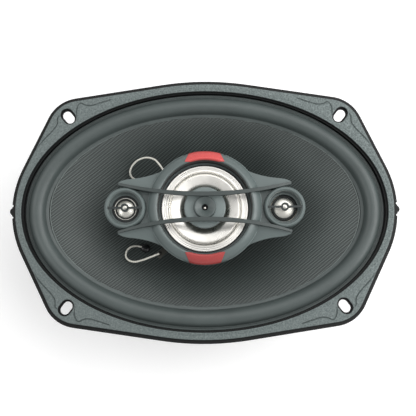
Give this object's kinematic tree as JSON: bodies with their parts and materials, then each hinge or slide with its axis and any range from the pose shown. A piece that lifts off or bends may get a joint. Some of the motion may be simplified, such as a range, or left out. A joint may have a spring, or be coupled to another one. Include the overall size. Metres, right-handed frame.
{
  "type": "coaxial car speaker",
  "caption": "Oval coaxial car speaker with a woven cone, a half-roll surround and a bridge pod that carries a silver midrange and two small tweeters.",
  "frame": {"origin": "centre of the flange's mounting (back) face, on the speaker's axis", "axes": "+X along the oval's long axis, +Z along the speaker's axis out of its front"},
  "size_m": [0.2386, 0.162, 0.099],
  "materials": {
    "basket_paint": "satin black powder coat on pressed steel",
    "gasket_foam": "grained dark grey gasket trim",
    "surround_rubber": "smooth satin rubber half roll",
    "cone_fibre": "diagonal twill woven fibre, dark grey resin",
    "spider_cloth": "phenolic-impregnated cotton, corrugated",
    "plated_steel": "zinc plated steel, turned",
    "ferrite": "dark grey sintered ferrite, ground faces",
    "pod_plastic": "moulded cool grey plastic, satin",
    "red_trim": "coral red satin insert",
    "silver_film": "bright silver metallised film",
    "former_film": "amber polyimide former",
    "copper_wire": "enamelled copper winding",
    "board": "black phenolic board",
    "tinned_brass": "tinned brass blade",
    "tinsel": "silver braided tinsel",
    "adhesive": "cured black adhesive",
    "felt": "black felt",
    "sleeve": "black shrink sleeve"
  },
  "bodies": {
    "frame": {"basket": "basket_paint", "plate_screws": "plated_steel", "gasket": "gasket_foam", "top_plate": "plated_steel", "ferrite_magnet": "ferrite", "t_yoke": "plated_steel", "pod_post": "plated_steel", "post_rear_washer": "plated_steel", "post_rear_nut": "plated_steel", "post_front_nut": "plated_steel", "surround": "surround_rubber", "spider": "spider_cloth", "terminal_board": "board", "positive_terminal": "tinned_brass", "negative_terminal": "tinned_brass", "terminal_rivets": "plated_steel", "bridge_bar_upper": "pod_plastic", "bridge_bar_lower": "pod_plastic", "trim_insert_top": "red_trim", "trim_insert_bottom": "red_trim", "pod_bezel": "pod_plastic", "pod_chassis": "pod_plastic", "pod_tub": "pod_plastic", "midrange_basket": "pod_plastic", "midrange_top_plate": "plated_steel", "midrange_magnet": "ferrite", "midrange_yoke": "plated_steel", "midrange_surround": "silver_film", "phase_plug": "pod_plastic", "tweeter_ring_left": "silver_film", "lead_lug_upper": "tinned_brass", "lead_lug_lower": "tinned_brass", "crossover_capacitor": "sleeve", "tweeter_cup_left": "pod_plastic", "tweeter_guard_left": "pod_plastic", "tweeter_yoke_left": "plated_steel", "tweeter_magnet_left": "plated_steel", "tweeter_cup_right": "pod_plastic", "tweeter_guard_right": "pod_plastic", "tweeter_yoke_right": "plated_steel", "tweeter_magnet_right": "plated_steel"},
    "woofer_moving": {"woofer_cone": "cone_fibre", "voice_coil_former": "former_film", "voice_coil_winding": "copper_wire", "dust_ring": "felt", "tinsel_lead_upper": "tinsel", "tinsel_lead_lower": "tinsel", "lead_dab_upper": "adhesive", "lead_dab_lower": "adhesive"},
    "midrange_moving": {"midrange_cone": "silver_film", "midrange_coil": "copper_wire"},
    "tweeter_left_moving": {"tweeter_dome_left": "silver_film", "tweeter_coil_left": "copper_wire"},
    "tweeter_right_moving": {"tweeter_dome_right": "silver_film", "tweeter_coil_right": "copper_wire"}
  },
  "joints": [
    {"name": "woofer_excursion", "type": "slide", "parent": "frame", "child": "woofer_moving", "axis": [0, 0, 1], "range_m": [-0.0045, 0.0045], "stiffness_N_per_m": 2500, "deforming": ["surround", "spider", "tinsel_lead_upper", "tinsel_lead_lower"]},
    {"name": "midrange_excursion", "type": "slide", "parent": "frame", "child": "midrange_moving", "axis": [0, 0, 1], "range_m": [-0.0008, 0.0008], "stiffness_N_per_m": 4000, "deforming": ["midrange_surround"]},
    {"name": "tweeter_left_excursion", "type": "slide", "parent": "frame", "child": "tweeter_left_moving", "axis": [0, 0, 1], "range_m": [-0.0003, 0.0003], "stiffness_N_per_m": 4000},
    {"name": "tweeter_right_excursion", "type": "slide", "parent": "frame", "child": "tweeter_right_moving", "axis": [0, 0, 1], "range_m": [-0.0003, 0.0003], "stiffness_N_per_m": 4000}
  ]
}
